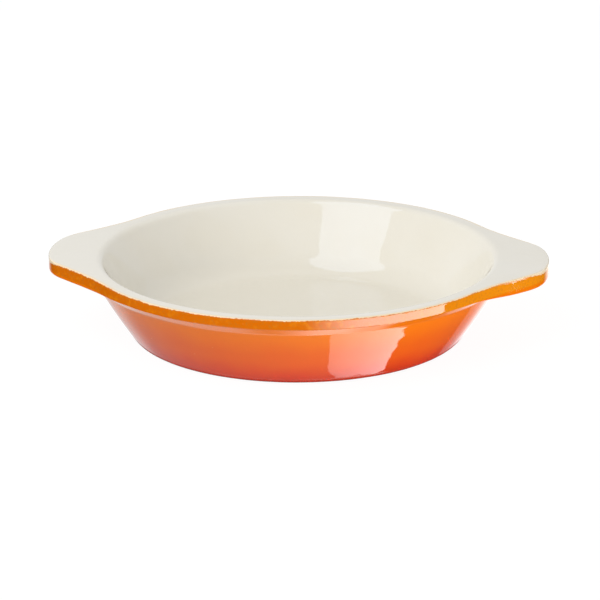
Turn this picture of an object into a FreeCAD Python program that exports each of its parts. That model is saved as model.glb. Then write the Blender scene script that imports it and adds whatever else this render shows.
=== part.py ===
import FreeCAD, Part

# Round gratin dish of enamelled cast iron with two flat lug handles.
# It is cast in one piece, so it is one body: a flared bowl, a flat rim band with a lug at
# each end, the hollow inside, and the soft edges that enamel needs.
# Millimetres. The origin is the middle of the foot, +Z is up and the lugs lie along X.

import os

import Sketcher

DRIVING_SIZES = [
    ("rim_radius", 85.0, "outside of the round rim band"),
    ("dish_height", 32.0, "foot to the top of the rim"),
    ("band_thickness", 4.2, "rim band and lugs, top to underside"),
    ("band_overhang", 0.6, "how far the band stands out past the neck under it"),
    ("neck_height", 2.9, "flared neck between the outer wall and the band"),
    ("neck_lean", 3.2, "how far the neck flares out"),
    ("outer_lean", 15.6, "how far the outer wall flares out, from the foot to the neck"),
    ("foot_rounding", 5.5, "corner between the foot and the outer wall"),
    ("rim_width", 7.5, "outside of the band to the sharp corner at the mouth"),
    ("mouth_rounding", 4.5, "soft inner edge of the rim"),
    ("inner_lean", 15.0, "how far the inner wall flares out, from the floor to the mouth"),
    ("floor_rounding", 15.0, "sweep from the floor up into the inner wall"),
    ("floor_thickness", 4.5, "iron between the floor and the plane of the foot"),
    ("lug_projection", 15.0, "tip of a lug past the round rim"),
    ("lug_width", 37.6, "end of a lug, between its sharp corners"),
    ("lug_root_width", 90.9, "lug where its flanks end inside the round rim"),
    ("lug_root_inset", 2.0, "how far inside the round rim those ends lie"),
    ("lug_end_radius", 47.5, "bow of a lug's end"),
    ("lug_corner_rounding", 24.0, "corner between a lug's end and its flank"),
    ("lug_root_rounding", 100.0, "hollow corner between a lug's flank and the round rim"),
    ("band_top_bevel", 0.7, "upper outer edge of the band and the lugs"),
    ("band_under_bevel", 0.4, "lower outer edge of the band and the lugs"),
    ("foot_ring_width", 13.6, "ring to stand on, in from the foot's sharp corner"),
    ("recess_depth", 0.8, "depth of the hollow inside that ring, and the slope of its side"),
]

# Places that follow from the driving sizes, as the document's own expressions.
BAND_UNDERSIDE = "sizes.dish_height - sizes.band_thickness"
NECK_TOP = "sizes.rim_radius - sizes.band_overhang"
NECK_FOOT = f"{NECK_TOP} - sizes.neck_lean"
WALL_TOP = f"{BAND_UNDERSIDE} - sizes.neck_height"
FOOT_CORNER = f"{NECK_FOOT} - sizes.outer_lean"
RECESS_EDGE = f"{FOOT_CORNER} - sizes.foot_ring_width"
RECESS_ROOF = f"{RECESS_EDGE} - sizes.recess_depth"
MOUTH_CORNER = "sizes.rim_radius - sizes.rim_width"
FLOOR_CORNER = f"{MOUTH_CORNER} - sizes.inner_lean"
LUG_TIP = "sizes.rim_radius + sizes.lug_projection"
BOW_CENTRE = f"{LUG_TIP} - sizes.lug_end_radius"
LUG_ROOT = "sqrt((sizes.rim_radius - sizes.lug_root_inset) ^ 2 - (sizes.lug_root_width / 2) ^ 2)"

NEAR = 0.01


def make_sheet(doc):
    """Writes the driving sizes into a spreadsheet, one row each."""
    sheet = doc.addObject("Spreadsheet::Sheet", "sizes")
    for row, (alias, value, meaning) in enumerate(DRIVING_SIZES, start=1):
        sheet.set(f"A{row}", alias)
        sheet.set(f"B{row}", str(value))
        sheet.set(f"C{row}", meaning)
        sheet.setAlias(f"B{row}", alias)
    doc.recompute()
    return sheet


def origin_feature(body, role):
    """Finds one of the body's own planes or axes."""
    return next(item for item in body.Origin.OriginFeatures if item.Role == role)


def new_sketch(body, name, plane):
    """Makes a sketch on one of the body's own origin planes."""
    sketch = body.newObject("Sketcher::SketchObject", name)
    sketch.AttachmentSupport = [(origin_feature(body, plane), "")]
    sketch.MapMode = "FlatFace"
    return sketch


def bind(sketch, name, kind, places, expression):
    """Adds a constraint between places in a sketch, names it and ties it to the sheet."""
    value = sketch.evalExpression(expression)
    index = sketch.addConstraint(Sketcher.Constraint(kind, *places, value))
    sketch.renameConstraint(index, name)
    sketch.setExpression(f"Constraints.{name}", expression)


def draw_section(sketch, corners):
    """Draws a closed half section whose corners are (name, across, up).

    Across and up are expressions, and None keeps the corner on the sketch's axis.
    """
    origin = (-1, 1)
    vertical_axis = -2
    horizontal_axis = -1
    points = []
    for name, across, up in corners:
        reach = sketch.evalExpression(across) if across else 0.0
        height = sketch.evalExpression(up) if up else 0.0
        points.append(FreeCAD.Vector(reach, height, 0))
    for start, end in zip(points, points[1:] + points[:1]):
        sketch.addGeometry(Part.LineSegment(start, end), False)
    count = len(corners)
    for line in range(count):
        sketch.addConstraint(Sketcher.Constraint("Coincident", line, 2, (line + 1) % count, 1))
    for line, (name, across, up) in enumerate(corners):
        if across:
            bind(sketch, f"{name}_across", "DistanceX", (*origin, line, 1), across)
        else:
            sketch.addConstraint(Sketcher.Constraint("PointOnObject", line, 1, vertical_axis))
        if up:
            bind(sketch, f"{name}_up", "DistanceY", (*origin, line, 1), up)
        else:
            sketch.addConstraint(Sketcher.Constraint("PointOnObject", line, 1, horizontal_axis))


def turn_section(body, kind, name, sketch):
    """Revolves a half section about the vertical axis, to add it or to cut it out."""
    turned = body.newObject(f"PartDesign::{kind}", name)
    turned.Profile = sketch
    turned.ReferenceAxis = (sketch, ["V_Axis"])
    turned.Angle = 360.0
    body.Document.recompute()


def circular_edges(shape, radius, height):
    """Names the edges that are whole rings of this radius about the vertical axis."""
    found = []
    for number, edge in enumerate(shape.Edges, start=1):
        curve = edge.Curve
        if not isinstance(curve, Part.Circle):
            continue
        centred = abs(curve.Center.x) < NEAR and abs(curve.Center.y) < NEAR
        level = abs(curve.Axis.z) > 1 - NEAR and abs(curve.Center.z - height) < NEAR
        if centred and level and abs(curve.Radius - radius) < NEAR:
            found.append(f"Edge{number}")
    return found


def upright_edges(shape, low, high):
    """Names the straight edges that run from one height to the other, with their radius."""
    found = []
    for number, edge in enumerate(shape.Edges, start=1):
        ends = [vertex.Point for vertex in edge.Vertexes]
        if len(ends) != 2 or (ends[0] - ends[1]).cross(FreeCAD.Vector(0, 0, 1)).Length > NEAR:
            continue
        heights = sorted(end.z for end in ends)
        if abs(heights[0] - low) < NEAR and abs(heights[1] - high) < NEAR:
            radius = (ends[0].x ** 2 + ends[0].y ** 2) ** 0.5
            found.append((f"Edge{number}", radius))
    return found


def side_edges(shape, height):
    """Names the edges at one height that border an upright face of the band or a lug."""
    numbers = {edge.hashCode(): number for number, edge in enumerate(shape.Edges, start=1)}
    found = []
    for face in shape.Faces:
        across, along = face.ParameterRange[:2], face.ParameterRange[2:]
        facing = face.normalAt(sum(across) / 2, sum(along) / 2)
        if abs(facing.z) > NEAR:
            continue
        for edge in face.Edges:
            level = edge.BoundBox
            if abs(level.ZMin - height) < NEAR and abs(level.ZMax - height) < NEAR:
                found.append(f"Edge{numbers[edge.hashCode()]}")
    return found


def round_edges(body, name, edges, size):
    """Rounds the named edges of the body as it stands."""
    before = body.Tip
    rounding = body.newObject("PartDesign::Fillet", name)
    rounding.Base = (before, edges)
    rounding.setExpression("Radius", f"sizes.{size}")
    body.Document.recompute()


def bevel_edges(body, name, edges, size):
    """Bevels the named edges of the body as it stands."""
    before = body.Tip
    bevel = body.newObject("PartDesign::Chamfer", name)
    bevel.Base = (before, edges)
    bevel.setExpression("Size", f"sizes.{size}")
    body.Document.recompute()


def add_bowl(body):
    """Revolves the solid bowl: flat foot, straight flared wall and the neck under the band."""
    sketch = new_sketch(body, "bowl_section", "XZ_Plane")
    draw_section(sketch, [
        ("foot_middle", None, None),
        ("foot_corner", FOOT_CORNER, None),
        ("neck_foot", NECK_FOOT, WALL_TOP),
        ("neck_top", NECK_TOP, BAND_UNDERSIDE),
        ("bowl_middle", None, BAND_UNDERSIDE),
    ])
    turn_section(body, "Revolution", "bowl", sketch)


def pad_band(body, sketch, name):
    """Pads a sketch at the band's underside up to the top of the rim."""
    sketch.setExpression("AttachmentOffset.Base.z", BAND_UNDERSIDE)
    pad = body.newObject("PartDesign::Pad", name)
    pad.Profile = sketch
    pad.setExpression("Length", "sizes.band_thickness")
    body.Document.recompute()
    return pad


def add_rim(body, sheet):
    """Pads the round rim band on top of the bowl."""
    sketch = new_sketch(body, "rim_outline", "XY_Plane")
    middle = FreeCAD.Vector(0, 0, 0)
    ring = Part.Circle(middle, FreeCAD.Vector(0, 0, 1), sheet.rim_radius)
    sketch.addGeometry(ring, False)
    sketch.addConstraint(Sketcher.Constraint("Coincident", 0, 3, -1, 1))
    bind(sketch, "rim_radius", "Radius", (0,), "sizes.rim_radius")
    pad_band(body, sketch, "rim")


def draw_lug(body, sheet):
    """Draws a lug: its bowed end, two straight flanks, and two lines that close it.

    Each flank runs on into the round rim, and a line goes from there to the middle of the
    dish.
    """
    sketch = new_sketch(body, "lug_outline", "XY_Plane")
    bow_centre = body.evalExpression(BOW_CENTRE)
    half_width = sheet.lug_width / 2
    bow_rise = (sheet.lug_end_radius ** 2 - half_width ** 2) ** 0.5
    upper_corner = FreeCAD.Vector(bow_centre + bow_rise, half_width, 0)
    lower_corner = FreeCAD.Vector(bow_centre + bow_rise, -half_width, 0)
    root = body.evalExpression(LUG_ROOT)
    upper_root = FreeCAD.Vector(root, sheet.lug_root_width / 2, 0)
    lower_root = FreeCAD.Vector(root, -sheet.lug_root_width / 2, 0)
    tip = FreeCAD.Vector(body.evalExpression(LUG_TIP), 0, 0)
    middle = FreeCAD.Vector(0, 0, 0)
    bow, flank, inward, outward, far_flank = range(5)
    sketch.addGeometry(Part.Arc(lower_corner, tip, upper_corner), False)
    sketch.addGeometry(Part.LineSegment(upper_corner, upper_root), False)
    sketch.addGeometry(Part.LineSegment(upper_root, middle), False)
    sketch.addGeometry(Part.LineSegment(middle, lower_root), False)
    sketch.addGeometry(Part.LineSegment(lower_root, lower_corner), False)
    sketch.addConstraint([
        Sketcher.Constraint("Coincident", bow, 2, flank, 1),
        Sketcher.Constraint("Coincident", flank, 2, inward, 1),
        Sketcher.Constraint("Coincident", inward, 2, outward, 1),
        Sketcher.Constraint("Coincident", outward, 2, far_flank, 1),
        Sketcher.Constraint("Coincident", far_flank, 2, bow, 1),
        Sketcher.Constraint("Coincident", inward, 2, -1, 1),
        Sketcher.Constraint("PointOnObject", bow, 3, -1),
        Sketcher.Constraint("Symmetric", bow, 1, bow, 2, -1),
        Sketcher.Constraint("Symmetric", outward, 2, flank, 2, -1),
    ])
    bind(sketch, "bow_centre", "DistanceX", (-1, 1, bow, 3), BOW_CENTRE)
    bind(sketch, "bow_radius", "Radius", (bow,), "sizes.lug_end_radius")
    bind(sketch, "width", "DistanceY", (bow, 1, bow, 2), "sizes.lug_width")
    bind(sketch, "root_reach", "DistanceX", (-1, 1, flank, 2), LUG_ROOT)
    bind(sketch, "root_width", "DistanceY", (outward, 2, flank, 2), "sizes.lug_root_width")
    return sketch


def add_lugs(body, sheet):
    """Pads one lug level with the rim band, mirrors it and rounds its upright corners."""
    lug = pad_band(body, draw_lug(body, sheet), "lug")
    pair = body.newObject("PartDesign::Mirrored", "lug_pair")
    pair.Originals = [lug]
    pair.MirrorPlane = (origin_feature(body, "YZ_Plane"), [""])
    body.Tip = pair
    body.Document.recompute()
    underside = body.evalExpression(BAND_UNDERSIDE)
    edges = upright_edges(pair.Shape, underside, sheet.dish_height)
    corners = [name for name, radius in edges if radius > sheet.rim_radius + NEAR]
    round_edges(body, "lug_corners", corners, "lug_corner_rounding")
    edges = upright_edges(body.Tip.Shape, underside, sheet.dish_height)
    roots = [name for name, radius in edges if abs(radius - sheet.rim_radius) < NEAR]
    round_edges(body, "lug_roots", roots, "lug_root_rounding")


def cut_hollow(body, sheet):
    """Turns out the inside: flat floor, swept corner, flared wall and soft mouth."""
    sketch = new_sketch(body, "hollow_section", "XZ_Plane")
    draw_section(sketch, [
        ("floor_middle", None, "sizes.floor_thickness"),
        ("floor_corner", FLOOR_CORNER, "sizes.floor_thickness"),
        ("mouth_corner", MOUTH_CORNER, "sizes.dish_height"),
        ("mouth_middle", None, "sizes.dish_height"),
    ])
    turn_section(body, "Groove", "hollow", sketch)
    floor_corner = body.evalExpression(FLOOR_CORNER)
    edges = circular_edges(body.Tip.Shape, floor_corner, sheet.floor_thickness)
    round_edges(body, "floor_sweep", edges, "floor_rounding")
    mouth_corner = body.evalExpression(MOUTH_CORNER)
    edges = circular_edges(body.Tip.Shape, mouth_corner, sheet.dish_height)
    round_edges(body, "mouth_edge", edges, "mouth_rounding")


def soften_outside(body, sheet):
    """Rounds the foot and bevels the outer edges of the band and the lugs."""
    edges = circular_edges(body.Tip.Shape, body.evalExpression(FOOT_CORNER), 0.0)
    round_edges(body, "foot_corner", edges, "foot_rounding")
    edges = side_edges(body.Tip.Shape, sheet.dish_height)
    bevel_edges(body, "band_top_edge", edges, "band_top_bevel")
    edges = side_edges(body.Tip.Shape, body.evalExpression(BAND_UNDERSIDE))
    bevel_edges(body, "band_under_edge", edges, "band_under_bevel")


def recess_foot(body):
    """Sinks the middle of the underside a little, so the dish stands on a ring."""
    sketch = new_sketch(body, "recess_section", "XZ_Plane")
    draw_section(sketch, [
        ("recess_mouth", None, None),
        ("recess_edge", RECESS_EDGE, None),
        ("recess_side", RECESS_ROOF, "sizes.recess_depth"),
        ("recess_roof", None, "sizes.recess_depth"),
    ])
    turn_section(body, "Groove", "recess", sketch)


def make_dish(doc, sheet):
    """Builds the casting as one body, each step on the last."""
    body = doc.addObject("PartDesign::Body", "gratin_dish")
    body.Label = "gratin_dish"
    body.Placement = FreeCAD.Placement()
    add_bowl(body)
    add_rim(body, sheet)
    add_lugs(body, sheet)
    cut_hollow(body, sheet)
    soften_outside(body, sheet)
    recess_foot(body)
    return body


def check(doc, bodies):
    """Stops with a plain message if any step failed or a piece isn't one sound solid."""
    for item in doc.Objects:
        if "Invalid" in item.State or "Error" in item.State:
            raise RuntimeError(f"{item.Name} did not compute: {item.State}")
    for body in bodies:
        shape = body.Shape
        if shape.isNull() or not shape.isValid() or len(shape.Solids) != 1:
            raise RuntimeError(f"{body.Label} is not one valid solid")


def export(bodies):
    """Writes each piece to a file that has its name."""
    os.makedirs("parts", exist_ok=True)
    for body in bodies:
        body.Shape.exportStep(f"parts/{body.Label}.step")


def main():
    doc = FreeCAD.newDocument("gratin_dish_part")
    sheet = make_sheet(doc)
    dish = make_dish(doc, sheet)
    doc.recompute()
    check(doc, [dish])
    export([dish])
    box = dish.Shape.BoundBox
    print(f"box {box.XLength:.2f} x {box.YLength:.2f} x {box.ZLength:.2f} mm")
    print(f"iron {dish.Shape.Volume / 1000:.1f} cm3")


main()
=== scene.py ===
# Round gratin dish of enamelled cast iron: its finish, the table it stands on and the studio light.
# The casting is drawn by its own rule. A half section is turned about the dish's axis, and the
# edge of the rim band follows an outline with a lug at each end, level with the rim.
# Metres. The origin is the middle of the foot, +Z is up and the lugs lie along X.

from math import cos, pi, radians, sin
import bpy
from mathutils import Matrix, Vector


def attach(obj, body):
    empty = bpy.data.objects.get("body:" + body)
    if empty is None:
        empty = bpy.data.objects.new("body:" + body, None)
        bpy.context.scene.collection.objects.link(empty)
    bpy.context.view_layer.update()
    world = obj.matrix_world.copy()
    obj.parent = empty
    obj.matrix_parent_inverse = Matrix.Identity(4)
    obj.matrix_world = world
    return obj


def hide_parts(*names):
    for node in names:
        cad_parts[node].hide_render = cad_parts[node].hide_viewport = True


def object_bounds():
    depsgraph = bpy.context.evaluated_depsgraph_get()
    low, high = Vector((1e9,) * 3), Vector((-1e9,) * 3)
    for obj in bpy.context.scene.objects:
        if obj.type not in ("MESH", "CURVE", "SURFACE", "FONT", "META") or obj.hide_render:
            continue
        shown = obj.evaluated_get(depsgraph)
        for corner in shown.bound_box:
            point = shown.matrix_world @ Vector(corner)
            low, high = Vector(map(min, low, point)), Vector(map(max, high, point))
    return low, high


bl_info = {
    "name": "Enamelled gratin dish",
    "version": (1, 0, 0),
    "blender": (4, 5, 0),
    "location": "View3D > Sidebar > Gratin dish",
    "description": "Casts and enamels a round gratin dish with two lugs and stands it in a studio",
    "category": "Add Mesh",
}

from types import SimpleNamespace

import bpy
from mathutils import Matrix, Vector

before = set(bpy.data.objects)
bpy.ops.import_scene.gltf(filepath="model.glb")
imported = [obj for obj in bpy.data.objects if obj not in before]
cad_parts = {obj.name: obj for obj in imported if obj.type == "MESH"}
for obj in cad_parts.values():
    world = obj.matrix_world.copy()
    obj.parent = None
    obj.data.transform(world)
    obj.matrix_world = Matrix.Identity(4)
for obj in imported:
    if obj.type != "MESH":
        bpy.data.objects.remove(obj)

IRON_NODE = "gratin_dish"
MM = 0.001
NOTHING = 1e-6
SAME_CORNER = 0.01
TURN = 2 * pi

LOWEST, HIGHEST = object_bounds()
LENGTH = HIGHEST.x - LOWEST.x
WIDTH = HIGHEST.y - LOWEST.y
HEIGHT = HIGHEST.z - LOWEST.z


def length(name, metres, description):
    """Makes a length property."""
    return bpy.props.FloatProperty(
        name=name, description=description, default=metres, min=0.0,
        subtype="DISTANCE", unit="LENGTH", precision=5,
    )


def colour(name, value, description):
    """Makes a colour property."""
    return bpy.props.FloatVectorProperty(
        name=name, description=description, default=value, min=0.0, max=1.0,
        size=3, subtype="COLOR",
    )


def number(name, value, description):
    """Makes a plain number property."""
    return bpy.props.FloatProperty(name=name, description=description, default=value, precision=4)


def angle(name, degrees, description):
    """Makes an angle property."""
    return bpy.props.FloatProperty(
        name=name, description=description, default=radians(degrees),
        subtype="ANGLE", unit="ROTATION",
    )


class CastingSizes(bpy.types.PropertyGroup):
    """Sizes of the casting, each an input of its tree."""

    rim_radius: length("Rim radius", WIDTH / 2, "Outside of the round rim band")
    dish_height: length("Dish height", HEIGHT, "Foot to the top of the rim")
    band_thickness: length("Band thickness", 4.2 * MM, "Rim band and lugs, top to underside")
    band_overhang: length("Band overhang", 0.6 * MM, "How far the band stands out past the neck")
    neck_height: length("Neck height", 2.9 * MM, "Flared neck between the wall and the band")
    neck_lean: length("Neck lean", 3.2 * MM, "How far the neck flares out")
    outer_lean: length("Outer lean", 15.6 * MM, "How far the outer wall flares out")
    foot_rounding: length("Foot rounding", 5.5 * MM, "Corner between the foot and the outer wall")
    rim_width: length("Rim width", 6.4 * MM, "Outside of the band to the sharp corner at the mouth")
    mouth_rounding: length("Mouth rounding", 3.4 * MM, "Soft inner edge of the rim")
    inner_lean: length("Inner lean", 16.1 * MM, "How far the inner wall flares out")
    floor_rounding: length("Floor rounding", 15.0 * MM, "Sweep from the floor up into the wall")
    floor_thickness: length("Floor thickness", 4.5 * MM, "Iron between the floor and the foot's plane")
    lug_projection: length("Lug projection", (LENGTH - WIDTH) / 2, "Tip of a lug past the round rim")
    lug_width: length("Lug width", 37.6 * MM, "End of a lug, between its sharp corners")
    lug_root_width: length("Lug root width", 90.9 * MM, "Lug where its flanks end inside the rim")
    lug_root_inset: length("Lug root inset", 2.0 * MM, "How far inside the rim those ends lie")
    lug_end_radius: length("Lug end radius", 47.5 * MM, "Bow of a lug's end")
    lug_corner_rounding: length("Lug corner rounding", 24.0 * MM, "Corner between end and flank")
    lug_root_rounding: length("Lug root rounding", 100.0 * MM, "Hollow between flank and round rim")
    lug_deepening: length("Lug deepening", 1.4 * MM, "How much thicker the lugs are than the band")
    deepening_start: length("Deepening start", 27.0 * MM, "Inside the round rim, where it begins")
    deepening_end: length("Deepening end", 3.0 * MM, "Inside the round rim, where it is full")
    deepening_shift: length("Deepening shift", 7.0 * MM, "How much farther out it lies on +X")
    further_deepening: length("Further deepening", 0.7 * MM, "How much thicker the lug on +X is")
    foot_ring_width: length("Foot ring width", 13.6 * MM, "Ring to stand on, from the foot's corner")
    recess_depth: length("Recess depth", 0.8 * MM, "Hollow inside the foot ring")
    recess_rounding: length("Recess rounding", 0.5 * MM, "Edges of that hollow")
    wall_bow: length("Wall bow", 0.32 * MM, "How far the outer wall bows out halfway up")
    wall_bow_radius: length("Wall bow radius", 250.0 * MM, "Radius of that bow")
    neck_foot_rounding: length("Neck foot rounding", 5.0 * MM, "Bend from the wall into the neck")
    neck_top_rounding: length("Neck top rounding", 0.3 * MM, "Hollow corner under the band")
    band_under_rounding: length("Band lower rounding", 0.45 * MM, "Lower outer edge of the band")
    band_top_rounding: length("Band upper rounding", 0.6 * MM, "Upper outer edge of the band")
    cream_lap: length("Cream lap", 0.1 * MM, "How far the cream runs past the middle of that edge")
    tip_lap: length("Tip lap", 0.9 * MM, "How much further it runs at the lugs' ends")
    tip_lap_start: length("Tip lap start", 6.0 * MM, "Past the round rim, where that begins")
    tip_lap_end: length("Tip lap end", 14.0 * MM, "Past the round rim, where it is full")
    swell_height: length("Swell height", 0.09 * MM, "Unevenness of the cast surface")
    swell_length: length("Swell length", 9.0 * MM, "Width of one swell of that unevenness")


class EnamelColours(bpy.types.PropertyGroup):
    """Colours and pattern sizes of the enamel."""

    cream: colour("Cream", (0.892, 0.858, 0.768), "Inside, and the top of the rim and lugs")
    cream_deep: colour("Deep cream", (0.872, 0.828, 0.716), "Where the cream lies thicker")
    # Painted highlight along the cream's edge: a bright cream, tinted by the orange beside it.
    highlight_halo: colour("Halo", (0.985, 0.775, 0.490), "Cream tinted by the orange beside it")
    edge_brown: colour("Edge brown", (0.600, 0.200, 0.020), "Thin burnt line along the orange edge")
    orange: colour("Orange", (0.900, 0.205, 0.003), "Neck and the top of the wall")
    vermilion: colour("Vermilion", (0.790, 0.122, 0.005), "Middle of the wall")
    red: colour("Red", (0.695, 0.047, 0.008), "Foot of the wall and the underside")
    # Band and gold: partly the enamel's own tones, partly painted shade on the -X side and painted
    # light on the +X side.
    band: colour("Band", (0.745, 0.166, 0.002), "Edge of the rim and of the lug on -X")
    gold: colour("Gold", (0.900, 0.290, 0.006), "Edge of the lug on +X and of the rim beside it")
    speck: colour("Speck", (0.900, 0.420, 0.160), "Pale specks in the orange")
    ragged_fine: length("Fine raggedness", 0.45 * MM, "Small notches of the enamel's edge")
    ragged_broad: length("Broad raggedness", 0.45 * MM, "Slow wander of the enamel's edge")
    highlight_halo_width: length("Halo width", 1.7 * MM, "How far the halo reaches into the cream")
    brown_width: length("Brown line width", 0.30 * MM, "Width of the burnt line")
    brown_strength: number("Brown strength", 0.45, "How brown the burnt line gets")
    drift: length("Drift", 5.0 * MM, "How far the colours' borders wander on the outside")
    mottling: number("Mottling", 0.6, "How brown and how gold the band's patches get")
    speck_spacing: length("Speck spacing", 2.6 * MM, "Width of the cells that may hold a speck")
    speck_share: number("Speck share", 0.07, "How many of those cells hold one")
    speck_strength: number("Speck strength", 0.6, "How pale the specks get")
    cloud_strength: number("Cloud strength", 0.5, "How deep the clouds in the cream get")


class StudioSettings(bpy.types.PropertyGroup):
    """Camera and light."""

    distance: length("Camera distance", 1.12983, "Camera to the middle of the rim")
    azimuth: angle("Camera azimuth", 5.031, "How far round towards the lug on +X")
    elevation: angle("Camera elevation", 16.990, "How high above the rim")
    pitch: angle("Camera pitch", 17.929, "How far the camera looks down")
    yaw: angle("Camera yaw", -0.0416, "How far it looks past the dish's axis")
    roll: angle("Camera roll", -0.1926, "How far it leans")
    lens: bpy.props.FloatProperty(
        name="Lens", description="Focal length on a 36 mm sensor", default=0.16977, unit="CAMERA",
    )
    key: number("Key light", 2.26, "Radiance of the softbox in front on the left")
    side: number("Side light", 1.3, "Radiance of the softbox on the right")
    ambient: number("Ambient light", 0.54, "Radiance of the studio all round")
    backdrop: number("Backdrop", 0.9, "Radiance of the wall behind, in reflections")
    table_light: number("Table light", 0.88, "Radiance that the lit right half of the table adds")
    table_glow: number("Table glow", 0.55, "Radiance of the table in reflections")
    inside_panel: number("Inside panel", 2.3, "Radiance of the panel that shows inside the dish")
    panel_edge: number("Panel edge", 1.35, "Radiance of the light panel at its inner corner")
    panel_rise: number("Panel rise", 5.5, "How much brighter the panel gets for each metre outwards")
    panel_peak: number("Panel peak", 8.0, "Radiance of the brightest part of the panel")


class Term:
    """A number in a node tree, so that a rule can be written as a formula."""

    def __init__(self, graph, socket):
        self.graph = graph
        self.socket = socket

    def __add__(self, other):
        return self.graph.math("ADD", self, other)

    def __sub__(self, other):
        return self.graph.math("SUBTRACT", self, other)

    def __rsub__(self, other):
        return self.graph.math("SUBTRACT", other, self)

    def __mul__(self, other):
        return self.graph.math("MULTIPLY", self, other)

    def __truediv__(self, other):
        return self.graph.math("DIVIDE", self, other)

    def __rtruediv__(self, other):
        return self.graph.math("DIVIDE", other, self)

    def __gt__(self, other):
        return self.graph.math("GREATER_THAN", self, other)

    def __lt__(self, other):
        return self.graph.math("LESS_THAN", self, other)

    def __neg__(self):
        return self.graph.math("MULTIPLY", self, -1.0)

    def __abs__(self):
        return self.graph.math("ABSOLUTE", self)

    __radd__ = __add__
    __rmul__ = __mul__

    def root(self):
        return self.graph.math("SQRT", self)


class Graph:
    """Adds nodes to one tree and links them."""

    def __init__(self, tree):
        self.tree = tree

    def feed(self, socket, value):
        """Links a term or a socket to an input, or writes a plain value into it."""
        source = getattr(value, "socket", value)
        if isinstance(source, bpy.types.NodeSocket):
            self.tree.links.new(source, socket)
        else:
            socket.default_value = value

    def node(self, kind, inputs=None, **settings):
        """Adds a node with its settings and feeds its inputs by name or place."""
        made = self.tree.nodes.new(kind)
        for name, value in settings.items():
            setattr(made, name, value)
        for name, value in (inputs or {}).items():
            self.feed(made.inputs[name], value)
        return made

    def term(self, kind, inputs=None, output=0, **settings):
        """Adds a node and gives back one of its outputs as a term."""
        return Term(self, self.node(kind, inputs, **settings).outputs[output])

    def math(self, operation, *values):
        return self.term("ShaderNodeMath", dict(enumerate(values)), operation=operation)

    def point(self, x, y, z):
        return self.term("ShaderNodeCombineXYZ", {0: x, 1: y, 2: z})

    def parts(self, vector):
        """The three numbers of a vector."""
        split = self.node("ShaderNodeSeparateXYZ", {0: vector})
        return [Term(self, socket) for socket in split.outputs]

    def pick(self, index, values, kind="FLOAT"):
        """Picks one of several values by its place in the list."""
        chooser = self.node("GeometryNodeIndexSwitch", data_type=kind)
        for _ in values[2:]:
            chooser.index_switch_items.new()
        self.feed(chooser.inputs[0], index)
        for socket, value in zip(chooser.inputs[1:], values):
            self.feed(socket, value)
        return Term(self, chooser.outputs[0])

    def ramp(self, value, start, end, smooth=True):
        """Goes from 0 to 1 as a number goes from start to end."""
        kind = "SMOOTHSTEP" if smooth else "LINEAR"
        inputs = {0: value, 1: start, 2: end, 3: 0.0, 4: 1.0}
        return self.term("ShaderNodeMapRange", inputs, interpolation_type=kind)

    def change(self, value, course):
        """Goes from 0 to an amount: the course is the start, the end and the amount."""
        start, end, amount = course
        return self.ramp(value, start, end) * amount

    def mix(self, share, first, second):
        """Mixes two colours."""
        inputs = {0: share, 6: first, 7: second}
        return self.term("ShaderNodeMix", inputs, output=2, data_type="RGBA")

    def noise(self, place, wave, detail=2.0):
        """Noise from 0 to 1 whose features are about one wave wide."""
        inputs = {"Vector": place, "Scale": 1.0 / wave, "Detail": detail}
        return self.term("ShaderNodeTexNoise", inputs)

    def patches(self, place, wave, low, high, detail=2.0):
        """Patches about one wave wide: 0 where the noise is under low, and 1 where it is over high."""
        return self.ramp(self.noise(place, wave, detail), low, high)

    def seen_and_mirrored(self):
        """Two numbers: 1 for a ray from the camera, and 1 for a ray that a gloss has mirrored."""
        ray = self.node("ShaderNodeLightPath")
        return Term(self, ray.outputs["Is Camera Ray"]), Term(self, ray.outputs["Is Glossy Ray"])


def add_inputs(graph, settings):
    """Gives a tree one named input for each property, and returns the terms and identifiers."""
    identifiers = {}
    for prop in settings.bl_rna.properties:
        if prop.identifier in ("rna_type", "name"):
            continue
        socket = graph.tree.interface.new_socket(
            name=prop.name, in_out="INPUT", socket_type="NodeSocketFloat",
        )
        socket.subtype = "DISTANCE"
        socket.description = prop.description
        identifiers[prop.identifier] = socket.identifier
    entry = graph.node("NodeGroupInput")
    names = {identifier: name for name, identifier in identifiers.items()}
    terms = {names[s.identifier]: Term(graph, s) for s in entry.outputs if s.identifier in names}
    return SimpleNamespace(**terms), identifiers


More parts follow.
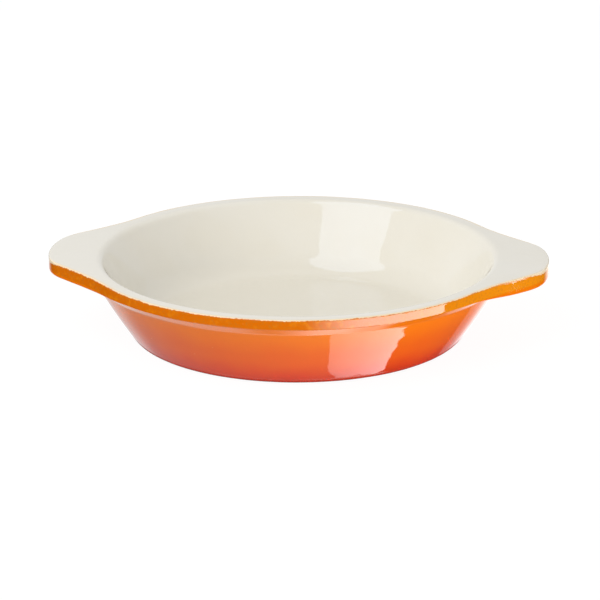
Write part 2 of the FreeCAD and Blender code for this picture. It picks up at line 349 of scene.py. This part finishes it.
def section_rings(graph, size):
    """Draws half of the section as a curve: x is the reach from the axis and z the height.

    It runs from the middle of the underside, round the foot, the wall and the band, to the
    middle of the floor. Every corner has its reach and height, its rounding and the points in
    it, its share of the lugs' outline (1 on the band's outer edge, and 0 where the dish is
    round) and the rings on the run after it. The second result is the corner of the band's
    upper edge.
    """
    underside = size.dish_height - size.band_thickness
    neck_top = size.rim_radius - size.band_overhang
    neck_foot = neck_top - size.neck_lean
    foot_corner = neck_foot - size.outer_lean
    recess_edge = foot_corner - size.foot_ring_width
    mouth = size.rim_radius - size.rim_width
    # The bow's corner stands out square to the wall by twice the bow.
    rise = underside - size.neck_height
    slope = (size.outer_lean * size.outer_lean + rise * rise).root()
    bow_reach = foot_corner + size.outer_lean / 2 + rise / slope * size.wall_bow * 2
    bow_height = rise / 2 - size.outer_lean / slope * size.wall_bow * 2
    band_top = (size.rim_radius, size.dish_height, size.band_top_rounding, 8, 1.0, 13)
    corners = (
        (0.0, size.recess_depth, 0.0, 0, 0.0, 14),
        (recess_edge - size.recess_depth, size.recess_depth, size.recess_rounding, 3, 0.0, 1),
        (recess_edge, 0.0, size.recess_rounding, 3, 0.0, 4),
        (foot_corner, 0.0, size.foot_rounding, 9, 0.0, 2),
        (bow_reach, bow_height, size.wall_bow_radius, 17, 0.0, 2),
        (neck_foot, underside - size.neck_height, size.neck_foot_rounding, 6, 0.0, 3),
        (neck_top, underside, size.neck_top_rounding, 3, 0.0, 7),
        (size.rim_radius, underside, size.band_under_rounding, 5, 1.0, 6),
        band_top,
        (mouth, size.dish_height, size.mouth_rounding, 9, 0.0, 14),
        (mouth - size.inner_lean, size.floor_thickness, size.floor_rounding, 12, 0.0, 22),
        (0.0, size.floor_thickness, 0.0, 0, 0.0, 0),
    )
    across, up, rounding, points, share, rings = (list(column) for column in zip(*corners))
    line = graph.term("GeometryNodeCurvePrimitiveLine")
    inputs = {"Curve": line, "Count": len(corners)}
    line = graph.term("GeometryNodeResampleCurve", inputs, mode="COUNT")
    index = graph.term("GeometryNodeInputIndex")
    place = graph.point(graph.pick(index, across), 0.0, graph.pick(index, up))
    curve = graph.term("GeometryNodeSetPosition", {"Geometry": line, "Position": place})
    curve = store(graph, curve, "corner", index)
    curve = store(graph, curve, "share", graph.pick(index, share))
    inputs = {
        "Curve": curve,
        "Count": graph.pick(index, points, "INT"),
        "Radius": graph.pick(index, rounding),
        "Limit Radius": True,
    }
    curve = graph.term("GeometryNodeFilletCurve", inputs, mode="POLY")
    corner = stored(graph, "corner")
    following = graph.term("GeometryNodeFieldAtIndex", {0: corner, 1: index + 1})
    cuts = graph.pick(corner, rings, "INT") * (following > corner)
    curve = graph.term("GeometryNodeSubdivideCurve", {"Curve": curve, "Cuts": cuts})
    return curve, corners.index(band_top)


def store(graph, geometry, name, value):
    """Keeps a number on every point of a geometry."""
    inputs = {"Geometry": geometry, "Name": name, "Value": value}
    return graph.term("GeometryNodeStoreNamedAttribute", inputs, data_type="FLOAT", domain="POINT")


def stored(graph, name):
    """Reads a number that was kept on the points."""
    return graph.term("GeometryNodeInputNamedAttribute", {"Name": name}, data_type="FLOAT")


def band_outline(graph, size, turn):
    """Gives the band's outer edge in a direction from the axis, and the way it faces there.

    One quarter is worked out, from the tip of a lug round to the side of the rim: the bowed
    end, the rounded corner, the straight flank, the hollow root and the round rim. The other
    quarters mirror it.
    """
    cosine = graph.math("COSINE", turn)
    sine = graph.math("SINE", turn)
    x, y = abs(cosine), abs(sine)
    bow_x = size.rim_radius + size.lug_projection - size.lug_end_radius
    half = size.lug_width / 2
    corner_x = bow_x + (size.lug_end_radius * size.lug_end_radius - half * half).root()
    root_y = size.lug_root_width / 2
    root_reach = size.rim_radius - size.lug_root_inset
    root_x = (root_reach * root_reach - root_y * root_y).root()
    run_x, run_y = root_x - corner_x, root_y - half
    run = (run_x * run_x + run_y * run_y).root()
    along_x, along_y = run_x / run, run_y / run
    facing_x, facing_y = along_y, -along_x
    flank = facing_x * corner_x + facing_y * half
    # The corner's arc touches the bow from inside and the flank.
    spare = size.lug_end_radius - size.lug_corner_rounding
    inner = flank - size.lug_corner_rounding
    off_x, off_y = facing_x * inner - bow_x, facing_y * inner
    slide = off_x * along_x + off_y * along_y
    slide = -slide - (slide * slide - off_x * off_x - off_y * off_y + spare * spare).root()
    round_x = facing_x * inner + along_x * slide
    round_y = facing_y * inner + along_y * slide
    # The root's arc lies outside the flank and the round rim and touches both.
    outer = flank + size.lug_root_rounding
    reach = size.rim_radius + size.lug_root_rounding
    hollow = (reach * reach - outer * outer).root()
    hollow_x = facing_x * outer - along_x * hollow
    hollow_y = facing_y * outer - along_y * hollow
    # Where one piece of the outline hands over to the next, as directions from the axis.
    grow = size.lug_end_radius / spare
    corner, root = size.lug_corner_rounding, size.lug_root_rounding
    ends = (
        (bow_x + (round_x - bow_x) * grow, round_y * grow),
        (round_x + facing_x * corner, round_y + facing_y * corner),
        (hollow_x - facing_x * root, hollow_y - facing_y * root),
        (hollow_x, hollow_y),
    )
    direction = graph.math("ARCTAN2", y, x)
    piece = sum((direction > graph.math("ARCTAN2", end_y, end_x) for end_x, end_y in ends), 0.0)

    def meet(centre_x, centre_y, radius, side):
        """Reach of a direction to the far (1) or near (-1) side of a circle."""
        middle = x * centre_x + y * centre_y
        square = middle * middle - centre_x * centre_x - centre_y * centre_y + radius * radius
        return middle + square.root() * side

    reach = graph.pick(piece, (
        meet(bow_x, bow_x * 0.0, size.lug_end_radius, 1.0),
        meet(round_x, round_y, corner, 1.0),
        flank / (x * facing_x + y * facing_y),
        meet(hollow_x, hollow_y, root, -1.0),
        size.rim_radius,
    ))
    edge_x, edge_y = x * reach, y * reach
    out_x = graph.pick(piece, (
        (edge_x - bow_x) / size.lug_end_radius,
        (edge_x - round_x) / corner,
        facing_x,
        (hollow_x - edge_x) / root,
        x,
    ))
    out_y = graph.pick(piece, (
        edge_y / size.lug_end_radius,
        (edge_y - round_y) / corner,
        facing_y,
        (hollow_y - edge_y) / root,
        y,
    ))
    right = graph.math("SIGN", cosine)
    back = graph.math("SIGN", sine)
    return cosine, sine, (cosine * reach, sine * reach), (out_x * right, out_y * back)


def casting_tree(sizes, spokes):
    """Builds the tree that draws the casting, and returns it with its inputs' identifiers."""
    tree = bpy.data.node_groups.new("dish_casting", "GeometryNodeTree")
    graph = Graph(tree)
    size, identifiers = add_inputs(graph, sizes)
    paint = tree.interface.new_socket(
        name="Enamel", in_out="INPUT", socket_type="NodeSocketMaterial",
    )
    tree.interface.new_socket(name="Casting", in_out="OUTPUT", socket_type="NodeSocketGeometry")
    section, top_corner = section_rings(graph, size)
    counted = {"Geometry": section}
    rings = graph.term("GeometryNodeAttributeDomainSize", counted, component="CURVE")
    inputs = {"Size X": 1.0, "Size Y": 1.0, "Vertices X": spokes + 1, "Vertices Y": rings}
    sheet = graph.term("GeometryNodeMeshGrid", inputs)
    along, up, _ = graph.parts(graph.term("GeometryNodeInputPosition"))
    turn = (along + 0.5) * TURN
    ring = graph.math("ROUND", (up + 0.5) * (rings - 1))

    def ring_value(value, kind="FLOAT"):
        """Reads a value of the section at this point's ring."""
        inputs = {"Geometry": section, "Value": value, "Index": ring}
        return graph.term("GeometryNodeSampleIndex", inputs, data_type=kind, domain="POINT")

    place = ring_value(graph.term("GeometryNodeInputPosition"), "FLOAT_VECTOR")
    reach, _, height = graph.parts(place)
    share = ring_value(stored(graph, "share"))
    cosine, sine, edge, facing = band_outline(graph, size, turn)
    inset = size.rim_radius - reach
    place_x = cosine * reach * (1 - share) + (edge[0] - facing[0] * inset) * share
    place_y = sine * reach * (1 - share) + (edge[1] - facing[1] * inset) * share
    # The cream ends and the orange begins halfway round the band's upper edge.
    run = graph.term("GeometryNodeSplineParameter", output=1)
    on_edge = abs(stored(graph, "corner") - top_corner) < SAME_CORNER
    inputs = {"Geometry": section, "Selection": on_edge, "Attribute": run}
    middle = graph.term("GeometryNodeAttributeStatistic", inputs, data_type="FLOAT", domain="POINT")
    past_line = ring_value(run) - middle
    gap_x, gap_y = edge[0] - place_x, edge[1] - place_y
    gap = (gap_x * gap_x + gap_y * gap_y).root() - size.band_top_rounding * (1 - cos(pi / 4))
    inputs = {"Switch": past_line > 0.0, "False": past_line, "True": gap}
    line_gap = graph.term("GeometryNodeSwitch", inputs, input_type="FLOAT")
    # At the ends of the lugs the cream wraps over the edge.
    out = abs(place_x) - size.rim_radius
    at_tips = graph.ramp(out, size.tip_lap_start, size.tip_lap_end)
    line_gap = line_gap + size.cream_lap + at_tips * size.tip_lap
    surface = store(graph, sheet, "line_gap", line_gap)
    # The lugs are a little thicker than the band, on the underside.
    underside = size.dish_height - size.band_thickness
    below = 1 - graph.ramp(height, underside, size.dish_height, smooth=False)
    on_right = place_x > 0.0
    out = out - on_right * size.deepening_shift
    on_lug = graph.ramp(out, -size.deepening_start, -size.deepening_end)
    deepening = size.lug_deepening + on_right * size.further_deepening
    height = height - below * share * on_lug * deepening
    target = graph.point(place_x, place_y, height)
    surface = graph.term("GeometryNodeSetPosition", {"Geometry": surface, "Position": target})
    inputs = {"Geometry": surface, "Distance": NOTHING}
    surface = graph.term("GeometryNodeMergeByDistance", inputs)
    surface = graph.term("GeometryNodeSetShadeSmooth", {"Geometry": surface})
    # The sand mould leaves the iron slightly uneven, always a little below its true surface.
    here = graph.term("GeometryNodeInputPosition")
    inputs = {"Vector": here, "Scale": 1.0 / size.swell_length, "Detail": 2.0}
    swell = graph.term("ShaderNodeTexNoise", inputs) * size.swell_height
    normal = graph.term("GeometryNodeInputNormal")
    shift = graph.term("ShaderNodeVectorMath", {0: normal, "Scale": -swell}, operation="SCALE")
    inputs = {"Geometry": surface, "Offset": shift}
    surface = graph.term("GeometryNodeSetPosition", inputs)
    surface = graph.term("GeometryNodeRealizeInstances", {"Geometry": surface})
    entry = graph.node("NodeGroupInput")
    enamel = next(s for s in entry.outputs if s.identifier == paint.identifier)
    surface = graph.term("GeometryNodeSetMaterial", {"Geometry": surface, "Material": enamel})
    graph.node("NodeGroupOutput", {0: surface})
    identifiers["enamel"] = paint.identifier
    return tree, identifiers


# Heights, and places along X, between which one colour of the outside gives way to the next.
RED_TO_VERMILION = (1.0 * MM, 13.0 * MM)
VERMILION_TO_ORANGE = (12.0 * MM, 27.0 * MM)
NECK_TO_BAND = (27.2 * MM, 28.0 * MM)
# Along X, the painted shade of the band gives way to the painted light of the gold.
SHADED_BAND_TO_LIT_GOLD = (30.0 * MM, 78.0 * MM)
# Heights between which the cream that pools on the floor thins out.
POOL_TO_WALL = (5.0 * MM, 14.0 * MM)
# The burnt line on the orange side of the edge, in widths of that line.
BURNT_LINE = (-2.2, -0.6)
EDGE_SOFTNESS = 0.16 * MM
# The glass of the enamel: its index, its roughness and the height of its fine relief.
GLASS_IOR = 1.5
LEAST_ROUGHNESS = 0.02
ROUGHNESS_RANGE = 0.03
PEEL_HEIGHT = 0.006 * MM
FINE_PEEL_HEIGHT = 0.0008 * MM
PIT_DEPTH = 0.01 * MM


def enamel_material(colours):
    """Makes the enamel: cream inside and on the rim, orange running down to red outside."""
    material = bpy.data.materials.new("vitreous_enamel")
    material.use_nodes = True
    graph = Graph(material.node_tree)
    graph.tree.nodes.clear()
    place = graph.term("ShaderNodeTexCoord", output="Object")
    line_gap = graph.term("ShaderNodeAttribute", output="Fac", attribute_name="line_gap")
    notches = graph.noise(place, wave=1.1 * MM, detail=3.0) - 0.5
    wander = graph.noise(place, wave=7.0 * MM) - 0.5
    edge = line_gap + notches * (2 * colours.ragged_fine) + wander * (2 * colours.ragged_broad)
    cream_side = graph.ramp(edge, -EDGE_SOFTNESS, EDGE_SOFTNESS)
    # Outside, the colour runs from orange at the band to red at the foot, a little unevenly.
    along, _, up = graph.parts(place)
    drift = (graph.noise(place, wave=14.0 * MM) - 0.5) * colours.drift
    lower = graph.ramp(up + drift, *RED_TO_VERMILION)
    outside = graph.mix(lower, rgba(colours.red), rgba(colours.vermilion))
    outside = graph.mix(graph.ramp(up + drift, *VERMILION_TO_ORANGE), outside, rgba(colours.orange))
    # The band is mottled, and turns from a darker deep orange to a brighter gold towards the lug on
    # +X: partly the enamel's yellower tone, partly painted shade on the left and painted light on the
    # right.
    lit_side_share = graph.ramp(along + drift, *SHADED_BAND_TO_LIT_GOLD)
    edging = graph.mix(lit_side_share, rgba(colours.band), rgba(colours.gold))
    grain = graph.patches(place, wave=0.9 * MM, low=0.45, high=0.75, detail=3.0)
    edging = graph.mix(grain * colours.mottling, edging, rgba(colours.edge_brown))
    bright = graph.patches(place, wave=3.0 * MM, low=0.5, high=0.75, detail=3.0)
    edging = graph.mix(bright * colours.mottling, edging, rgba(colours.gold))
    outside = graph.mix(graph.ramp(up, *NECK_TO_BAND), outside, edging)
    # A few of the cells that fill space have a pale speck in their middle.
    cells = {"Vector": place, "Scale": 1.0 / colours.speck_spacing}
    specks = graph.node("ShaderNodeTexVoronoi", cells)
    from_middle = Term(graph, specks.outputs["Distance"])
    chosen = graph.parts(specks.outputs["Color"])[0] > 1 - colours.speck_share
    speck = (1 - graph.ramp(from_middle, start=0.05, end=0.12)) * chosen
    outside = graph.mix(speck * colours.speck_strength, outside, rgba(colours.speck))
    brown = graph.ramp(edge, *(place_on_line * colours.brown_width for place_on_line in BURNT_LINE))
    patchy = graph.patches(place, wave=2.5 * MM, low=0.35, high=0.6)
    brown = brown * patchy * colours.brown_strength
    outside = graph.mix(brown, outside, rgba(colours.edge_brown))
    # Inside, the cream is deeper where it pools and in broad faint clouds.
    pooled = 1 - graph.ramp(up, *POOL_TO_WALL)
    clouds = graph.patches(place, wave=22.0 * MM, low=0.3, high=0.7) * colours.cloud_strength
    depth = graph.math("MAXIMUM", pooled, clouds)
    inside = graph.mix(depth, rgba(colours.cream), rgba(colours.cream_deep))
    # Along the edge of the cream, a painted highlight in bright, orange-tinted cream.
    highlight_halo = 1 - graph.ramp(edge, 0.0, colours.highlight_halo_width)
    inside = graph.mix(highlight_halo, inside, rgba(colours.highlight_halo))
    roughness = graph.noise(place, wave=3.0 * MM) * ROUGHNESS_RANGE + LEAST_ROUGHNESS
    peel = graph.noise(place, wave=1.8 * MM, detail=1.0) * PEEL_HEIGHT
    peel = peel + graph.noise(place, wave=0.5 * MM, detail=1.0) * FINE_PEEL_HEIGHT
    relief = {"Height": peel - speck * PIT_DEPTH, "Distance": 1.0, "Strength": 1.0}
    normal = graph.term("ShaderNodeBump", relief)
    inputs = {
        "Base Color": graph.mix(cream_side, outside, inside),
        "Roughness": roughness,
        "Normal": normal,
    }
    shader = graph.node("ShaderNodeBsdfPrincipled", inputs)
    shader.inputs["IOR"].default_value = GLASS_IOR
    graph.node("ShaderNodeOutputMaterial", {"Surface": shader.outputs[0]})
    return material


def rgba(value):
    """A colour with its opacity."""
    return (*value, 1.0)


class GRATIN_OT_cast_dish(bpy.types.Operator):
    """Cast the dish and fire its enamel"""

    bl_idname = "gratin.cast_dish"
    bl_label = "Cast and enamel the dish"

    spokes: bpy.props.IntProperty(
        name="Spokes", description="Faces round the dish", default=480, min=48,
    )

    def execute(self, context):
        sizes = context.scene.casting_sizes
        enamel = enamel_material(context.scene.enamel_colours)
        tree, identifiers = casting_tree(sizes, self.spokes)
        dish = bpy.data.objects.new("enamelled_dish", bpy.data.meshes.new("enamelled_dish"))
        context.scene.collection.objects.link(dish)
        modifier = dish.modifiers.new("casting", "NODES")
        modifier.node_group = tree
        for name, identifier in identifiers.items():
            modifier[identifier] = enamel if name == "enamel" else getattr(sizes, name)
        depsgraph = context.evaluated_depsgraph_get()
        mesh = bpy.data.meshes.new_from_object(dish.evaluated_get(depsgraph), depsgraph=depsgraph)
        if not mesh.polygons:
            raise RuntimeError("the casting came out empty")
        mesh.materials.clear()
        mesh.materials.append(enamel)
        mesh.polygons.foreach_set("material_index", [0] * len(mesh.polygons))
        dish.modifiers.clear()
        dish.data = mesh
        mesh.name = "enamelled_dish"
        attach(dish, "root")
        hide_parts(IRON_NODE)
        return {"FINISHED"}


WHITE = (1.0, 1.0, 1.0)
SENSOR_WIDTH = 36.0
NEAREST, FARTHEST = 0.05, 20.0
# Watts that a lamp needs for each square metre to have a radiance of 1.
LAMP_POWER = 4.0


def direction(azimuth, elevation):
    """Points from the dish towards a place: azimuth 0 is the side of the lens, +90 the lug on +X."""
    flat = cos(elevation)
    return Vector((sin(azimuth) * flat, -cos(azimuth) * flat, sin(elevation)))


def set_camera(context, studio):
    """Stands the camera where the dish is seen from."""
    camera = bpy.data.cameras.new("camera")
    camera.sensor_width = SENSOR_WIDTH
    camera.lens = studio.lens / MM
    camera.clip_start = NEAREST
    camera.clip_end = FARTHEST
    stand = bpy.data.objects.new("camera", camera)
    context.scene.collection.objects.link(stand)
    rim_middle = Vector((0.0, 0.0, HEIGHT))
    spot = rim_middle + direction(studio.azimuth, studio.elevation) * studio.distance
    ahead = -direction(studio.azimuth + studio.yaw, studio.pitch)
    across = ahead.cross(Vector((0.0, 0.0, 1.0))).normalized()
    upright = across.cross(ahead)
    leant_across = across * cos(studio.roll) + upright * sin(studio.roll)
    leant_upright = upright * cos(studio.roll) - across * sin(studio.roll)
    turn = Matrix((leant_across, leant_upright, -ahead)).transposed().to_4x4()
    stand.matrix_world = Matrix.Translation(spot) @ turn
    context.scene.camera = stand


def add_softbox(context, name, azimuth, elevation, distance, width, height, radiance):
    """Hangs a rectangular softbox that faces the dish."""
    lamp = bpy.data.lights.new(name, "AREA")
    lamp.shape = "RECTANGLE"
    lamp.size = width
    lamp.size_y = height
    lamp.energy = radiance * width * height * LAMP_POWER
    hung = bpy.data.objects.new(name, lamp)
    context.scene.collection.objects.link(hung)
    towards = direction(radians(azimuth), radians(elevation))
    facing = towards.to_track_quat("Z", "Y").to_matrix().to_4x4()
    hung.matrix_world = Matrix.Translation(towards * distance) @ facing
    return hung


def flat_mesh(context, name, corners):
    """Makes a flat face from its corners."""
    mesh = bpy.data.meshes.new(name)
    mesh.from_pydata(corners, [], [range(len(corners))])
    made = bpy.data.objects.new(name, mesh)
    context.scene.collection.objects.link(made)
    return made


def disc_corners(radius, height, count=96):
    """Corners of a disc."""
    steps = (TURN * step / count for step in range(count))
    return [(radius * cos(step), radius * sin(step), height) for step in steps]


def across_and_away(graph, studio):
    """The place on a sheet: how far to the right of the dish, and how far away from the lens."""
    x, y, _ = graph.parts(graph.term("ShaderNodeTexCoord", output="Object"))
    cosine, sine = cos(studio.azimuth), sin(studio.azimuth)
    return x * cosine + y * sine, y * cosine - x * sine


FLOOR_RADIUS = 1.5
FLOOR_DROP = 0.05 * MM
FLOOR_GREY = (0.57, 0.57, 0.57)
# To the camera the floor glows nearly white, and a faint grey on top of that takes the shadow.
FLOOR_WHITE = 0.955
SHADOW_GREY = (0.08, 0.08, 0.08)
# The floor is lit from the dish rightwards, and clear of its foot.
LIT_RIGHTWARDS = (-95 * MM, 60 * MM)
LIT_OUTWARDS = (60 * MM, 76 * MM)
# Farther out than this the enamel mirrors the glowing table and not the floor.
MIRRORED_FLOOR = 66.8 * MM


def add_floor(context, studio):
    """Lays the pale floor: white to the camera, apart from the dish's soft shadow."""
    floor = flat_mesh(context, "floor", disc_corners(FLOOR_RADIUS, -FLOOR_DROP))
    material = bpy.data.materials.new("pale_floor")
    material.use_nodes = True
    graph = Graph(material.node_tree)
    graph.tree.nodes.clear()
    seen, mirrored = graph.seen_and_mirrored()
    across, away = across_and_away(graph, studio)
    from_middle = (across * across + away * away).root()
    lit = graph.ramp(across, *LIT_RIGHTWARDS) * graph.ramp(from_middle, *LIT_OUTWARDS)
    lit = lit * (1 - mirrored) * studio.table_light
    matt = graph.term("ShaderNodeBsdfDiffuse", {"Color": rgba(FLOOR_GREY)})
    light = graph.term("ShaderNodeEmission", {"Color": rgba(WHITE), "Strength": lit})
    matt = graph.term("ShaderNodeAddShader", {0: matt, 1: light})
    faint = graph.term("ShaderNodeBsdfDiffuse", {"Color": rgba(SHADOW_GREY)})
    white = graph.term("ShaderNodeEmission", {"Color": rgba(WHITE), "Strength": FLOOR_WHITE})
    shown = graph.term("ShaderNodeAddShader", {0: faint, 1: white})
    look = graph.term("ShaderNodeMixShader", {0: seen, 1: matt, 2: shown})
    hole = graph.term("ShaderNodeBsdfTransparent")
    left_out = mirrored * (from_middle > MIRRORED_FLOOR)
    look = graph.term("ShaderNodeMixShader", {0: left_out, 1: look, 2: hole})
    graph.node("ShaderNodeOutputMaterial", {"Surface": look})
    material.cycles.emission_sampling = "NONE"
    floor.data.materials.append(material)


# Outlines of the glowing sheets: metres to the right of the dish and away from the lens. The
# first shows in the wall and the neck, the second in the rim band and the third inside.
WALL_PANEL = (
    (0.200, -0.260), (0.192, -0.170), (0.177, -0.114), (0.194, -0.076), (0.225, -0.040),
    (0.268, 0.000), (0.333, 0.045), (0.400, 0.110), (0.455, 0.175), (0.505, 0.215),
    (0.538, 0.176), (0.568, 0.158), (0.600, 0.150), (0.612, 0.110), (0.655, 0.134),
    (0.640, 0.060), (0.522, -0.104), (0.399, -0.200), (0.297, -0.248), (0.240, -0.262),
)
BAND_PANEL = ((0.000, -2.600), (0.000, -14.000), (14.000, -1.620), (2.200, -0.255))
INSIDE_PANEL = (
    (-0.370, -1.140), (-1.440, -0.590), (-1.204, -0.504), (-0.962, -0.253), (-0.862, -0.073),
    (-0.653, 0.139), (-0.438, 0.248), (-0.162, 0.459), (-0.134, 0.372), (-0.110, 0.205),
    (-0.074, -0.059), (-0.100, -0.442), (-0.205, -0.607), (-0.265, -0.794), (-0.307, -0.928),
)


PANEL_HEIGHT = -1.0
INSIDE_PANEL_HEIGHT = 1.0
INSIDE_PANEL_TINT = (0.80, 0.93, 1.20)
BAND_PANEL_SPREAD = radians(40.0)
TABLE_HEIGHT = -1.01
TABLE_RADIUS = 4.0
# The glow of the table. Each change has the place where it starts and the one where it is full,
# in metres to the right of the dish or away from the lens, and the amount it comes to there.
TABLE = SimpleNamespace(
    fades_out=(1.2, 2.4, 1.0),
    dark_on_right=(0.44, 0.50, 0.85),
    bright_far_off=(0.9, 1.6, 0.6),
    close_ends=(0.42, 0.52, 1.0),
    line_starts=(0.12, 0.18, 1.0),
    line_ends=(0.36, 0.44, 1.0),
    line_on_right=(-0.05, 0.10, 1.6),
    dark_starts=(0.36, 0.48, 1.0),
    neck_on_right=(-0.10, 0.12, 1.6),
    neck_dims=(0.15, 0.24, 0.5),
    neck_on_left=(-0.10, -0.24, 0.6),
    neck_ends=(0.26, 0.34, 1.0),
    strip_starts=(1.14, 1.20, 0.3),
    strip_rises=(1.20, 2.2, 0.9),
    strip_side=(0.57, 0.62, 1.0),
)
LINE_OFFSET = 0.158
LINE_GLOW = 0.8
NECK_GLOW = 0.3
DARK_DEPTH = 0.95
STRIP_SLANT = 0.15


def wall_light(graph, studio):
    """Radiance of the panel that shows in the outer wall: it rises to the right."""
    across, _ = across_and_away(graph, studio)
    return across * studio.panel_rise + studio.panel_edge


def band_light(graph, studio):
    """Radiance of the panel that shows in the rim band: it rises as the band turns away."""
    across, away = across_and_away(graph, studio)
    turned = graph.math("ARCTAN2", across, -away)
    return graph.ramp(turned, 0.0, BAND_PANEL_SPREAD) * studio.panel_peak


def inside_light(_, studio):
    """Radiance of the panel that shows inside the dish: even."""
    return studio.inside_panel


def table_light(graph, studio):
    """Radiance of the table in the enamel's gloss."""
    across, away = across_and_away(graph, studio)
    farthest = graph.math("MAXIMUM", abs(across), -away)
    within_reach = 1 - graph.change(farthest, TABLE.fades_out)
    lit = 1 - graph.change(across, TABLE.dark_on_right)
    farther = 1 + graph.change(away, TABLE.bright_far_off)
    glow = within_reach * lit * farther * studio.table_glow
    # The neck shows the table close behind the dish: a bright line, and beyond it the dark.
    close = 1 - graph.change(abs(across), TABLE.close_ends)
    behind = away - across * across + LINE_OFFSET
    line = graph.change(behind, TABLE.line_starts) * (1 - graph.change(behind, TABLE.line_ends))
    line = line * (LINE_GLOW + graph.change(across, TABLE.line_on_right))
    dark = graph.change(behind, TABLE.dark_starts)
    neck = graph.change(across, TABLE.neck_on_right) * (1 - graph.change(across, TABLE.neck_dims))
    neck = neck + NECK_GLOW + graph.change(across, TABLE.neck_on_left)
    neck = neck * (1 - graph.change(across, TABLE.neck_ends))
    # The right flank of the wall shows a pale strip beyond the dark.
    strip = graph.change(away, TABLE.strip_starts) + graph.change(away, TABLE.strip_rises)
    strip = strip * graph.change(across + away * STRIP_SLANT, TABLE.strip_side) * within_reach
    return glow * (1 - close * dark * DARK_DEPTH) + close * (line + dark * neck) + strip


def lay(studio, outline, height):
    """Corners of an outline at a height, turned to lie as the lens sees it."""
    turn = Matrix.Rotation(studio.azimuth, 3, "Z")
    return [turn @ Vector((*corner, height)) for corner in outline]


def add_glow(context, name, corners, light, tint=WHITE):
    """Adds a glowing sheet that only shows in the enamel's gloss."""
    sheet = flat_mesh(context, name, corners)
    material = bpy.data.materials.new(name)
    material.use_nodes = True
    graph = Graph(material.node_tree)
    graph.tree.nodes.clear()
    radiance = light(graph, context.scene.studio_settings)
    glow = graph.term("ShaderNodeEmission", {"Color": rgba(tint), "Strength": radiance})
    graph.node("ShaderNodeOutputMaterial", {"Surface": glow})
    material.cycles.emission_sampling = "NONE"
    sheet.data.materials.append(material)
    sheet.visible_camera = False
    sheet.visible_diffuse = False
    sheet.visible_transmission = False
    sheet.visible_volume_scatter = False
    sheet.visible_shadow = False


# The studio in reflections: dim, with a bright wall behind, down to just under the horizon.
DIM = 0.35
BACKDROP_SPREAD = (-0.1, 0.6)
HORIZON = -0.02


def set_world(context, studio):
    """Makes the studio round the dish: white to the camera, and soft light elsewhere."""
    world = bpy.data.worlds.new("studio")
    world.use_nodes = True
    graph = Graph(world.node_tree)
    graph.tree.nodes.clear()
    seen, mirrored = graph.seen_and_mirrored()
    _, away, up = graph.parts(graph.term("ShaderNodeTexCoord", output="Generated"))
    in_gloss = graph.ramp(away, *BACKDROP_SPREAD) * (studio.backdrop - DIM) + DIM
    in_gloss = in_gloss * (up > HORIZON)
    unseen = mirrored * in_gloss + (1 - mirrored) * studio.ambient
    strength = seen + (1 - seen) * unseen
    background = graph.term("ShaderNodeBackground", {"Color": rgba(WHITE), "Strength": strength})
    graph.node("ShaderNodeOutputWorld", {"Surface": background})
    context.scene.world = world


class GRATIN_OT_set_stage(bpy.types.Operator):
    """Lay the floor, hang the lights and stand the camera"""

    bl_idname = "gratin.set_stage"
    bl_label = "Set the stage"

    def execute(self, context):
        studio = context.scene.studio_settings
        context.scene.view_settings.view_transform = "Standard"
        set_camera(context, studio)
        set_world(context, studio)
        add_floor(context, studio)
        key = add_softbox(
            context, "key_softbox", azimuth=-39.5, elevation=38.5, distance=1.2,
            width=0.84, height=1.05, radiance=studio.key,
        )
        key.visible_glossy = False
        add_softbox(
            context, "side_softbox", azimuth=80.0, elevation=12.0, distance=1.2,
            width=0.6, height=0.5, radiance=studio.side,
        )
        wall_panel = lay(studio, WALL_PANEL, PANEL_HEIGHT)
        band_panel = lay(studio, BAND_PANEL, PANEL_HEIGHT)
        inside_panel = lay(studio, INSIDE_PANEL, INSIDE_PANEL_HEIGHT)
        table = disc_corners(TABLE_RADIUS, TABLE_HEIGHT)
        add_glow(context, "wall_panel", wall_panel, wall_light)
        add_glow(context, "band_panel", band_panel, band_light)
        add_glow(context, "inside_panel", inside_panel, inside_light, INSIDE_PANEL_TINT)
        add_glow(context, "table_glow", table, table_light)
        return {"FINISHED"}


class VIEW3D_PT_gratin_dish(bpy.types.Panel):
    """Sizes, colours and light of the gratin dish"""

    bl_label = "Gratin dish"
    bl_space_type = "VIEW_3D"
    bl_region_type = "UI"
    bl_category = "Gratin dish"

    def draw(self, context):
        scene = context.scene
        groups = (
            (scene.casting_sizes, GRATIN_OT_cast_dish),
            (scene.enamel_colours, None),
            (scene.studio_settings, GRATIN_OT_set_stage),
        )
        for settings, operator in groups:
            box = self.layout.box()
            for prop in settings.bl_rna.properties:
                if prop.identifier not in ("rna_type", "name"):
                    box.prop(settings, prop.identifier)
            if operator:
                box.operator(operator.bl_idname)


CLASSES = (
    CastingSizes,
    EnamelColours,
    StudioSettings,
    GRATIN_OT_cast_dish,
    GRATIN_OT_set_stage,
    VIEW3D_PT_gratin_dish,
)


def register():
    """Adds the settings, the operators and the panel."""
    for kind in CLASSES:
        bpy.utils.register_class(kind)
    bpy.types.Scene.casting_sizes = bpy.props.PointerProperty(type=CastingSizes)
    bpy.types.Scene.enamel_colours = bpy.props.PointerProperty(type=EnamelColours)
    bpy.types.Scene.studio_settings = bpy.props.PointerProperty(type=StudioSettings)


def unregister():
    """Takes them away again."""
    del bpy.types.Scene.studio_settings
    del bpy.types.Scene.enamel_colours
    del bpy.types.Scene.casting_sizes
    for kind in reversed(CLASSES):
        bpy.utils.unregister_class(kind)


def main():
    """Makes the dish and its stage."""
    register()
    bpy.ops.gratin.cast_dish()
    bpy.ops.gratin.set_stage()


if __name__ == "__main__":
    main()
